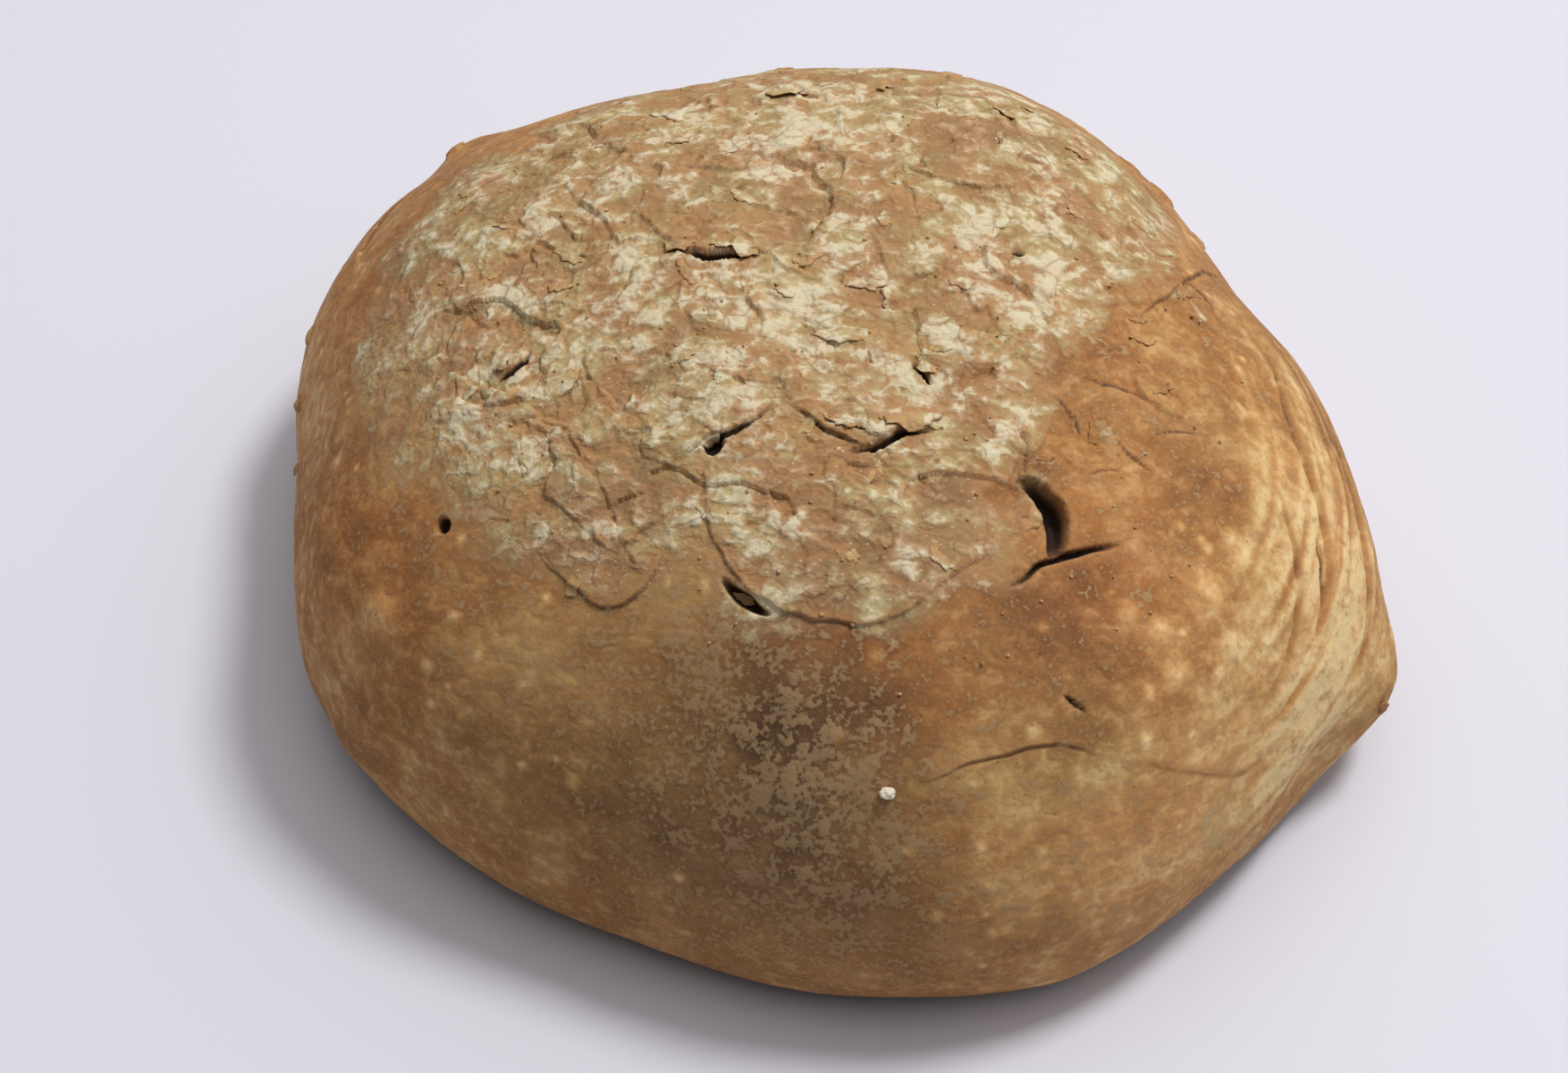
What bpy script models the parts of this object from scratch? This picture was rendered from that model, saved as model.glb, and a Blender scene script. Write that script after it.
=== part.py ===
"""Farmhouse loaf: one round, hand-shaped country loaf with a torn, flour-dusted crust.

Run it with blender --background --python part.py, or from Blender's text editor.
Metres, +Z up. The origin is on the surface the loaf stands on, under the middle of its bounding box.
+X is the loaf's right and +Y its back, as the baker sees it, and a place on the crust is given in plan.
"""

import math
from collections import namedtuple

import bpy
import numpy as np
from mathutils import Vector, noise

MM = 0.001

# The body. Plan radii, in millimetres, run counter-clockwise from +X, evenly spaced.
HEIGHT = 106 * MM
WIDEST_HEIGHT = 23 * MM
PLAN_RADII = (123, 114, 116, 120, 114, 114, 127, 129, 122, 126, 121, 116, 123, 130, 131, 134)
FOOT_SHARE = 0.885
DOME_FULLNESS = 0.86
CROWN_FULLNESS = 0.95
FOOT_LATITUDE = math.radians(-50)

# Every other place is measured from this point of the radii's frame.
PLACES_FROM = (1 * MM, -3 * MM)

# How finely the form is worked out, and how many triangles the finished solid keeps.
SPHERE_LEVEL = 8
SOLID_TRIANGLES = 11_400

# Slow swells of the dough: wavelength and height of each.
SWELLS = ((70 * MM, 2.6 * MM), (32 * MM, 1.1 * MM), (14 * MM, 0.35 * MM))
SWELL_ORIGIN = Vector((3.1, 7.4, 1.9))

# Relief fades out towards the flat foot, over this height.
FOOT_FADE = (1 * MM, 11 * MM)

# The crown's dry crust is cracked into plates, each a little raised or sunk, tilted, and set off by a gap.
CROWN_MIDDLE = (-6 * MM, 10 * MM)
CROWN_RADII = (92 * MM, 84 * MM)
CROWN_FADE = (0.75, 1.05)
CROWN_WANDER = 0.16
PLATE_SIZE = 27 * MM
PLATE_STEP = 1.3 * MM
PLATE_TILT = 0.09
PLATE_GAP = 1.1 * MM
PLATE_GAP_DEPTH = 0.5 * MM
PLATE_WARP = (13 * MM, 7 * MM)
CELL_SPREAD = 37.0
HALF = Vector((0.5, 0.5, 0.5))

# Without a seed, Blender's vector noise starts from the clock and warps the plates differently each time.
PLATE_SEED = 1795816460

# A swelling or a hollow pressed into the dough: place, radius, and height, which is below 0 for a hollow.
Swelling = namedtuple("Swelling", "x y level radius height")
SWELLINGS = [
    Swelling(64 * MM, -73 * MM, 80 * MM, 26 * MM, 3.2 * MM),    # smooth cheek on the right of the front
    Swelling(40 * MM, -99 * MM, 68 * MM, 13 * MM, -1.8 * MM),   # hollow under the cheek
    Swelling(84 * MM, -88 * MM, 44 * MM, 15 * MM, -1.2 * MM),   # the same hollow, nearer the tail
    Swelling(123 * MM, -44 * MM, 24 * MM, 15 * MM, 5.4 * MM),   # tail of the dough
    Swelling(109 * MM, -71 * MM, 24 * MM, 13 * MM, -3.8 * MM),  # waist beside the tail
    Swelling(111 * MM, 39 * MM, 40 * MM, 14 * MM, -2.4 * MM),   # hollow on the right, towards the back
    Swelling(-85 * MM, 87 * MM, 58 * MM, 9 * MM, 2.6 * MM),     # knob on the back left shoulder
    Swelling(-4 * MM, -62 * MM, 97 * MM, 30 * MM, 1.6 * MM),    # the round plate of crust in front
    Swelling(-22 * MM, -90 * MM, 78 * MM, 26 * MM, -1.2 * MM),  # below it, the front face
    Swelling(-62 * MM, 16 * MM, 97 * MM, 24 * MM, -1.5 * MM),   # the crown dips to the left
    Swelling(40 * MM, 58 * MM, 92 * MM, 26 * MM, 1.8 * MM),     # and swells at the back right
]

# A tear in the crust follows a smooth route over it. The crust is lifted on the route's left side, highest
# at the edge and level again within reach, and the gap is a groove along the route.
Tear = namedtuple("Tear", "route gap depth lift reach")


def tear(route, gap=1.0, depth=1.2, lift=0.8, reach=8.0):
    """A tear from plan places and sizes in millimetres."""
    places = [(x * MM, y * MM) for x, y in route]
    return Tear(places, gap * MM, depth * MM, lift * MM, reach * MM)


TEARS = [
    # the front edge of the crown's big plate, scalloped, with a bold gap at its right
    tear([(-30, -45), (-27, -41), (-18, -38), (-11, -32)], gap=1.2, depth=1.6, lift=1.2),
    tear([(-9, -32), (-4, -36), (2, -40), (8, -43)], gap=1.0, depth=1.4, lift=1.1),
    tear([(4, -44), (10, -42), (16, -38), (22, -37)], gap=2.4, depth=4.2, lift=1.4),
    # the round plate in front: its lower edge, and the slot at the lower left
    tear([(36, -61), (24, -70), (12, -78), (-4, -77), (-16, -71), (-24, -60), (-26, -46)],
         gap=0.8, depth=0.7, lift=-1.0, reach=14),
    tear([(-22, -68), (-18, -72), (-12, -76)], gap=2.8, depth=4.0, lift=0.9),
    # the plate on its left
    tear([(-60, -59), (-53, -65), (-46, -70), (-39, -68), (-33, -61)],
         gap=0.8, depth=0.7, lift=0.9, reach=12),
    # the burst blister, the crack from its foot and the hair crack above it
    tear([(39, -47), (44, -50), (47, -56), (46, -64)], gap=5.6, depth=7.0, lift=0.8, reach=6),
    tear([(37, -71), (42, -66), (50, -62), (60, -58)], gap=1.9, depth=3.0, lift=-0.8),
    tear([(39, -31), (41, -39), (41, -47)], gap=0.9, depth=1.3, lift=0.5),
    # the crown, left to right
    tear([(-82, 44), (-74, 49)], gap=1.3, depth=1.2, lift=0.6),
    tear([(-64, 50), (-55, 53), (-44, 52)], gap=1.9, depth=3.0, lift=-1.0),
    tear([(-60, 29), (-56, 21), (-50, 19)], gap=1.0, depth=1.0, lift=0.8),
    tear([(-72, -17), (-67, -15), (-64, -10)], gap=1.7, depth=2.2, lift=1.2),
    tear([(-43, 27), (-36, 16), (-30, 12)], gap=0.9, depth=0.9, lift=0.9),
    tear([(-33, 13), (-27, 8), (-20, 8), (-12, 9)], gap=1.8, depth=3.0, lift=1.4),
    tear([(-13, 9), (-9, 4), (-2, 1)], gap=0.9, depth=0.9, lift=0.8),
    tear([(-28, -21), (-22, -25), (-14, -27), (-6, -24)], gap=1.0, depth=1.0, lift=0.9),
    tear([(28, -9), (34, -11), (42, -17)], gap=1.0, depth=1.0, lift=-0.9),
    tear([(18, -20), (22, -26)], gap=2.0, depth=2.4, lift=0.6),
    tear([(-20, 75), (-10, 68), (-1, 66)], gap=2.0, depth=2.8, lift=-1.0),
    tear([(4, 81), (14, 79), (22, 83)], gap=1.8, depth=2.2, lift=-1.0),
    tear([(14, 36), (30, 30), (46, 34)], gap=0.9, depth=0.9, lift=1.0),
    tear([(-34, 40), (-18, 36), (-4, 42), (8, 38)], gap=0.9, depth=0.9, lift=1.1),
    # where the floured crown meets the smooth right cheek
    tear([(66, -2), (74, 9), (84, 27), (92, 38)], gap=1.0, depth=1.1, lift=0.9),
    tear([(54, -21), (62, -22), (70, -24)], gap=1.3, depth=1.2, lift=-0.5),
    tear([(69, -31), (80, -28)], gap=1.1, depth=0.9, lift=-0.4),
    # the front: two short cracks and the crease under the cheek
    tear([(47, -88), (52, -90)], gap=1.6, depth=1.6, lift=-0.6),
    tear([(18, -104), (32, -100), (46, -96), (56, -96)], gap=1.4, depth=0.8, lift=0.6),
    tear([(56, -96), (72, -93), (88, -87), (100, -76)], gap=3.0, depth=0.4, lift=0.3),
    # folds of the tail, which run round the right end
    tear([(94, 32), (101, -12), (108, -38), (106, -58), (98, -74), (86, -88)], gap=2.6, depth=1.2, lift=0.9),
    tear([(110, 12), (115, -12), (119, -34), (118, -52), (112, -66)], gap=2.4, depth=1.1, lift=0.8),
    tear([(95, -32), (101, -48), (98, -66), (90, -80)], gap=2.0, depth=0.9, lift=0.7),
    tear([(106, -40), (107, -54)], gap=1.6, depth=2.0, lift=0.5),
    # the back, which the same oven tore in the same way
    tear([(60, 82), (46, 96), (30, 101)], gap=1.6, depth=1.8, lift=0.9),
    tear([(-52, 92), (-40, 99), (-24, 101)], gap=1.8, depth=2.0, lift=1.0),
    tear([(88, 50), (80, 66), (72, 72)], gap=1.4, depth=1.4, lift=0.8),
    tear([(-108, 40), (-104, 58), (-96, 70)], gap=1.2, depth=1.0, lift=0.8),
]

# A small round hole where a bubble burst: place, radius and depth. Its wall stands between these shares of
# the radius.
BURST_WALL = (0.5, 1.0)
Burst = namedtuple("Burst", "x y radius depth")
BURSTS = [
    Burst(-82 * MM, -46 * MM, 2.2 * MM, 3.0 * MM),
    Burst(-24 * MM, -41 * MM, 2.6 * MM, 3.2 * MM),
    Burst(41 * MM, 11 * MM, 1.6 * MM, 2.0 * MM),
    Burst(16 * MM, 91 * MM, 3.0 * MM, 3.0 * MM),
]

# Edges wander by this much, at this wavelength, so that no tear is a clean line.
RAGGED_BY = 0.7 * MM
RAGGED_EVERY = 5 * MM
EDGE_STEP = 0.9 * MM
ROUTE_STEPS = 10

# A tear narrows and grows shallow towards its ends, where this share of its gap is left. Its walls stand
# between these shares of half the gap, and its lift has died away after so many times its reach.
TAPER_POWER = 0.7
END_GAP = 0.35
WALL = (0.45, 1.1)
LIFT_FADES = 4

CRUST_COLOUR = (0.42, 0.23, 0.11, 1.0)
CRUST_ROUGHNESS = 0.85


def smoothstep(low, high, values):
    t = np.clip((values - low) / (high - low), 0.0, 1.0)
    return t * t * (3 - 2 * t)


def spline(before, start, end, after, share):
    """A point on the Catmull-Rom curve from start to end."""
    slope_in = (end - before) / 2
    slope_out = (after - start) / 2
    rise = end - start
    return (start + slope_in * share
            + (3 * rise - 2 * slope_in - slope_out) * share**2
            + (slope_in + slope_out - 2 * rise) * share**3)


def plan_radius(bearing):
    """The loaf's radius in plan at each bearing, on a smooth closed curve through PLAN_RADII."""
    radii = np.array(PLAN_RADII) * MM
    turns = bearing / math.tau * len(radii)
    index = np.floor(turns).astype(int)
    before, start, end, after = (radii[(index + k) % len(radii)] for k in (-1, 0, 1, 2))
    return spline(before, start, end, after, turns - index)


def body_points(directions):
    """The smooth loaf: each direction of the unit sphere goes to its place on dome, heel or foot."""
    bearing = np.arctan2(directions[:, 1], directions[:, 0])
    latitude = np.arcsin(np.clip(directions[:, 2], -1.0, 1.0))
    up = np.clip(latitude, 0, math.pi / 2)
    heel = np.clip(latitude / FOOT_LATITUDE, 0, 1) * math.pi / 2
    inward = np.clip((latitude - FOOT_LATITUDE) / (-math.pi / 2 - FOOT_LATITUDE), 0, 1)

    dome_share = np.cos(up) ** DOME_FULLNESS
    heel_share = FOOT_SHARE + (1 - FOOT_SHARE) * np.cos(heel)
    foot_share = FOOT_SHARE * (1 - inward)
    share = np.where(latitude >= 0, dome_share, np.where(inward > 0, foot_share, heel_share))

    dome_height = WIDEST_HEIGHT + (HEIGHT - WIDEST_HEIGHT) * np.sin(up) ** CROWN_FULLNESS
    heel_height = WIDEST_HEIGHT * (1 - np.sin(heel))
    height = np.where(latitude >= 0, dome_height, heel_height)

    reach = plan_radius(bearing) * share
    return np.stack([reach * np.cos(bearing), reach * np.sin(bearing), height], axis=1)


def crown_point(x, y):
    """The place on the smooth dome that lies above a plan place, in the frame of the radii."""
    x, y = x + PLACES_FROM[0], y + PLACES_FROM[1]
    bearing = math.atan2(y, x)
    radius = float(plan_radius(np.array([bearing]))[0])
    share = min(math.hypot(x, y) / radius, 1.0)
    latitude = math.acos(share ** (1 / DOME_FULLNESS))
    height = WIDEST_HEIGHT + (HEIGHT - WIDEST_HEIGHT) * math.sin(latitude) ** CROWN_FULLNESS
    return np.array([x, y, height])


def noise_at(points, wavelength, origin=SWELL_ORIGIN):
    """Smooth noise from -1 to 1 at each point."""
    return np.array([noise.noise(Vector(p) / wavelength + origin) for p in points.tolist()])


def swell_relief(points):
    """The dough's slow unevenness, and its named swellings and hollows."""
    relief = sum(height * noise_at(points, wavelength) for wavelength, height in SWELLS)
    for swelling in SWELLINGS:
        centre = np.array([swelling.x + PLACES_FROM[0], swelling.y + PLACES_FROM[1], swelling.level])
        distance = np.linalg.norm(points - centre, axis=1) / swelling.radius
        relief += swelling.height * np.exp(-distance**2)
    return relief


def crown_share(points):
    """1 on the floured crown, 0 well outside it, with a wandering edge between."""
    across = (points[:, 0] - PLACES_FROM[0] - CROWN_MIDDLE[0]) / CROWN_RADII[0]
    deep = (points[:, 1] - PLACES_FROM[1] - CROWN_MIDDLE[1]) / CROWN_RADII[1]
    outward = np.hypot(across, deep) + CROWN_WANDER * noise_at(points, SWELLS[1][0])
    return 1 - smoothstep(*CROWN_FADE, outward)


def plate_relief(points):
    """The plates of the crown: cells of a warped pattern, each with its own height and tilt."""
    noise.seed_set(PLATE_SEED)
    wavelength, warp = PLATE_WARP
    relief = np.zeros(len(points))
    for i, place in enumerate(points.tolist()):
        place = Vector(place)
        bent = (place + warp * noise.noise_vector(place / wavelength)) / PLATE_SIZE
        distances, seeds = noise.voronoi(bent)
        own = seeds[0] * CELL_SPREAD
        level = PLATE_STEP / 2 * noise.cell(own)
        lean = PLATE_TILT * PLATE_SIZE * (noise.cell_vector(own) - HALF).dot(bent - seeds[0])
        from_edge = (distances[1] - distances[0]) * PLATE_SIZE / PLATE_GAP
        relief[i] = level + lean - PLATE_GAP_DEPTH * max(1 - from_edge, 0)
    return relief * crown_share(points)


def smooth_route(places):
    """Points along the smooth curve through the plan places, up on the dome."""
    corners = [crown_point(x, y) for x, y in places]
    corners = [2 * corners[0] - corners[1], *corners, 2 * corners[-1] - corners[-2]]
    route = [spline(*corners[i : i + 4], step / ROUTE_STEPS)
             for i in range(len(corners) - 3) for step in range(ROUTE_STEPS)]
    return np.array([*route, corners[-2]])


def across_route(points, normals, route):
    """Each point's distance from the route, above 0 on its left, and its place along it from 0 to 1."""
    best = np.full(len(points), np.inf)
    signed = np.zeros(len(points))
    along = np.zeros(len(points))
    lengths = np.linalg.norm(np.diff(route, axis=0), axis=1)
    passed = np.concatenate([[0], np.cumsum(lengths)]) / lengths.sum()
    for i in range(len(lengths)):
        run = route[i + 1] - route[i]
        share = np.clip((points - route[i]) @ run / (run @ run), 0, 1)
        away = points - route[i] - share[:, None] * run
        distance = np.linalg.norm(away, axis=1)
        side = np.where(np.einsum("ij,ij->i", np.cross(run, away), normals) >= 0, 1.0, -1.0)
        nearer = distance < best
        best = np.where(nearer, distance, best)
        signed = np.where(nearer, distance * side, signed)
        along = np.where(nearer, passed[i] + share * (passed[i + 1] - passed[i]), along)
    return signed, along


def tear_relief(points, normals, torn):
    """What one tear adds to and takes from the crust, and the points that it reaches."""
    route = smooth_route(torn.route)
    middle = route.mean(axis=0)
    reach = np.linalg.norm(route - middle, axis=1).max() + LIFT_FADES * torn.reach
    near = np.flatnonzero(np.linalg.norm(points - middle, axis=1) < reach)
    signed, along = across_route(points[near], normals[near], route)
    signed = signed + RAGGED_BY * noise_at(points[near], RAGGED_EVERY)
    taper = np.sin(math.pi * np.clip(along, 0, 1)) ** TAPER_POWER
    half_gap = torn.gap / 2 * (END_GAP + (1 - END_GAP) * taper)
    groove = 1 - smoothstep(WALL[0] * half_gap, WALL[1] * half_gap, np.abs(signed))
    side = signed * np.sign(torn.lift)
    past_edge = np.maximum(side - half_gap, 0)
    lifted = np.exp(-past_edge / torn.reach) * smoothstep(-EDGE_STEP / 2, EDGE_STEP / 2, side)
    return near, taper * (abs(torn.lift) * lifted - torn.depth * groove)


def crust_relief(points, normals):
    """How far the real crust stands above the smooth loaf at each point."""
    relief = swell_relief(points) + plate_relief(points)
    for torn in TEARS:
        near, change = tear_relief(points, normals, torn)
        relief[near] += change
    for burst in BURSTS:
        distance = np.linalg.norm(points - crown_point(burst.x, burst.y), axis=1) / burst.radius
        relief -= burst.depth * (1 - smoothstep(*BURST_WALL, distance))
    return relief * smoothstep(*FOOT_FADE, points[:, 2])


def numbers(items, name, width):
    found = np.empty(len(items) * width)
    items.foreach_get(name, found)
    return found.reshape(-1, width)


def make_loaf(collection):
    """The loaf, shaped from a fine sphere, with the triangles thinned out where the crust is smooth."""
    bpy.ops.mesh.primitive_ico_sphere_add(subdivisions=SPHERE_LEVEL, radius=1)
    loaf = bpy.context.object
    loaf.name = loaf.data.name = "loaf"
    vertices = loaf.data.vertices
    smooth_form = body_points(numbers(vertices, "co", 3))
    vertices.foreach_set("co", smooth_form.ravel())
    loaf.data.update()
    normals = numbers(vertices, "normal", 3)

    form = smooth_form + normals * crust_relief(smooth_form, normals)[:, None]
    middle = (form.min(axis=0) + form.max(axis=0)) / 2
    form -= [middle[0], middle[1], 0]
    form[:, 2] = np.maximum(form[:, 2], 0)
    vertices.foreach_set("co", form.ravel())
    loaf.data.update()

    thin = loaf.modifiers.new("thin out", "DECIMATE")
    thin.ratio = SOLID_TRIANGLES / len(loaf.data.polygons)
    loaf.data.shade_smooth()
    for owner in list(loaf.users_collection):
        owner.objects.unlink(loaf)
    collection.objects.link(loaf)
    return loaf


def crust_material():
    material = bpy.data.materials.new("crust")
    material.use_nodes = True
    shader = material.node_tree.nodes["Principled BSDF"]
    shader.inputs["Base Color"].default_value = CRUST_COLOUR
    shader.inputs["Roughness"].default_value = CRUST_ROUGHNESS
    shader.inputs["Metallic"].default_value = 0.0
    return material


def main():
    for old in list(bpy.data.objects):
        bpy.data.objects.remove(old)
    collection = bpy.data.collections.new("farmhouse_loaf")
    bpy.context.scene.collection.children.link(collection)
    loaf = make_loaf(collection)
    loaf.data.materials.append(crust_material())


main()
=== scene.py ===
"""Looks of the farmhouse loaf: its torn, flour-dusted crust, its flakes and crumbs, and the light it stands in.

The crust is shaped from the same dimensions as the solid, with finer relief on top of them. Metres, +Z up,
+X right and +Y back. A place on the crust is given in plan, and colours are sRGB from 0 to 255.
"""

import math
import random
from collections import namedtuple

import bmesh
import bpy
import numpy as np
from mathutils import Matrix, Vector, noise
from mathutils.bvhtree import BVHTree

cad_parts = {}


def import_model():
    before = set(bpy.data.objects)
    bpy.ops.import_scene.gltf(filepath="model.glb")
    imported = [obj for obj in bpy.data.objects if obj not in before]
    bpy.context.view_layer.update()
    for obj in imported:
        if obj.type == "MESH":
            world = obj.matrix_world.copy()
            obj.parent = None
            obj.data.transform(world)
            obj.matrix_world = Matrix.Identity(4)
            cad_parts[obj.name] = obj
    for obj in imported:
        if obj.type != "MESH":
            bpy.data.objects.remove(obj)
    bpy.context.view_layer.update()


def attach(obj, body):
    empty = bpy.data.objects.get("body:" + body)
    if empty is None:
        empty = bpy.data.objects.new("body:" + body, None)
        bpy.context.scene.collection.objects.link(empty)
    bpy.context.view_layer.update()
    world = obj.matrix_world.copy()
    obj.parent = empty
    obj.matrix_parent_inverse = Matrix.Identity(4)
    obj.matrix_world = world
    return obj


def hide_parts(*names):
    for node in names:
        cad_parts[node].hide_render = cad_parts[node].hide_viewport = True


MM = 0.001
IMAGE_SIZE = (1754, 1200)

# The camera looks down on the loaf along +Y.
CAMERA_AIM = Vector((-11.3, -13.2, 38)) * MM
CAMERA_DISTANCE = 800 * MM
CAMERA_ELEVATION = math.radians(52)
PIXEL_AT_AIM = 0.2029 * MM
SENSOR_WIDTH = 36

# The body. Plan radii, in millimetres, run counter-clockwise from +X, evenly spaced.
HEIGHT = 106 * MM
WIDEST_HEIGHT = 23 * MM
PLAN_RADII = (123, 114, 116, 120, 114, 114, 127, 129, 122, 126, 121, 116, 123, 130, 131, 134)
FOOT_SHARE = 0.885
DOME_FULLNESS = 0.86
CROWN_FULLNESS = 0.95
FOOT_LATITUDE = math.radians(-50)

# Every other place is measured from this point of the radii's frame.
PLACES_FROM = (1 * MM, -3 * MM)

# How finely the crust is worked out, how much finer on top than below, and how many triangles it keeps.
SPHERE_LEVEL = 9
FINER_ON_TOP = 0.25
CRUST_TRIANGLES = 420_000

# Slow swells of the dough: wavelength and height of each.
SWELLS = ((70 * MM, 2.6 * MM), (32 * MM, 1.1 * MM), (14 * MM, 0.35 * MM))
SWELL_ORIGIN = Vector((3.1, 7.4, 1.9))

# Fine grain of the crust: wavelength and height of each.
GRAINS = ((6 * MM, 0.16 * MM), (2.6 * MM, 0.06 * MM))

# Relief fades out towards the flat foot, over this height.
FOOT_FADE = (1 * MM, 11 * MM)

# The crown's dry crust is cracked into plates, each a little raised or sunk, tilted, and set off by a gap.
CROWN_MIDDLE = (-6 * MM, 10 * MM)
CROWN_RADII = (92 * MM, 84 * MM)
CROWN_FADE = (0.75, 1.05)
CROWN_WANDER = 0.16
CELL_SPREAD = 37.0
HALF = Vector((0.5, 0.5, 0.5))

# Without a seed, Blender's vector noise starts from the clock and warps the plates differently each time.
PLATE_SEED = 1795816460
Plates = namedtuple("Plates", "size step tilt gap gap_depth warp_every warp_by origin")
BIG_PLATES = Plates(27 * MM, 1.3 * MM, 0.09, 1.1 * MM, 0.15 * MM, 13 * MM, 7 * MM, Vector((0, 0, 0)))
FLAKES = Plates(10 * MM, 0.75 * MM, 0.10, 0.8 * MM, 0.3 * MM, 6 * MM, 4 * MM, Vector((11, 5, 3)))
CHIPS = Plates(4 * MM, 0.34 * MM, 0.12, 0.5 * MM, 0.12 * MM, 3 * MM, 2 * MM, Vector((23, 17, 9)))

# A swelling or a hollow pressed into the dough: place, radius, and height, which is below 0 for a hollow.
Swelling = namedtuple("Swelling", "x y level radius height")
SWELLINGS = [
    Swelling(64 * MM, -73 * MM, 80 * MM, 26 * MM, 3.2 * MM),    # smooth cheek on the right of the front
    Swelling(40 * MM, -99 * MM, 68 * MM, 13 * MM, -1.8 * MM),   # hollow under the cheek
    Swelling(84 * MM, -88 * MM, 44 * MM, 15 * MM, -1.2 * MM),   # the same hollow, nearer the tail
    Swelling(123 * MM, -44 * MM, 24 * MM, 15 * MM, 5.4 * MM),   # tail of the dough
    Swelling(109 * MM, -71 * MM, 24 * MM, 13 * MM, -3.8 * MM),  # waist beside the tail
    Swelling(111 * MM, 39 * MM, 40 * MM, 14 * MM, -2.4 * MM),   # hollow on the right, towards the back
    Swelling(-85 * MM, 87 * MM, 58 * MM, 9 * MM, 2.6 * MM),     # knob on the back left shoulder
    Swelling(-4 * MM, -62 * MM, 97 * MM, 30 * MM, 1.6 * MM),    # the round plate of crust in front
    Swelling(-22 * MM, -90 * MM, 78 * MM, 26 * MM, -1.2 * MM),  # below it, the front face
    Swelling(-62 * MM, 16 * MM, 97 * MM, 24 * MM, -1.5 * MM),   # the crown dips to the left
    Swelling(40 * MM, 58 * MM, 92 * MM, 26 * MM, 1.8 * MM),     # and swells at the back right
]

# A tear in the crust follows a smooth route over it. The crust is lifted on the route's left side, highest
# at the edge and level again within reach, and the gap is a groove along the route.
Tear = namedtuple("Tear", "route gap depth lift reach")


def tear(route, gap=1.0, depth=1.2, lift=0.8, reach=8.0):
    """A tear from plan places and sizes in millimetres."""
    places = [(x * MM, y * MM) for x, y in route]
    return Tear(places, gap * MM, depth * MM, lift * MM, reach * MM)


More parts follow.
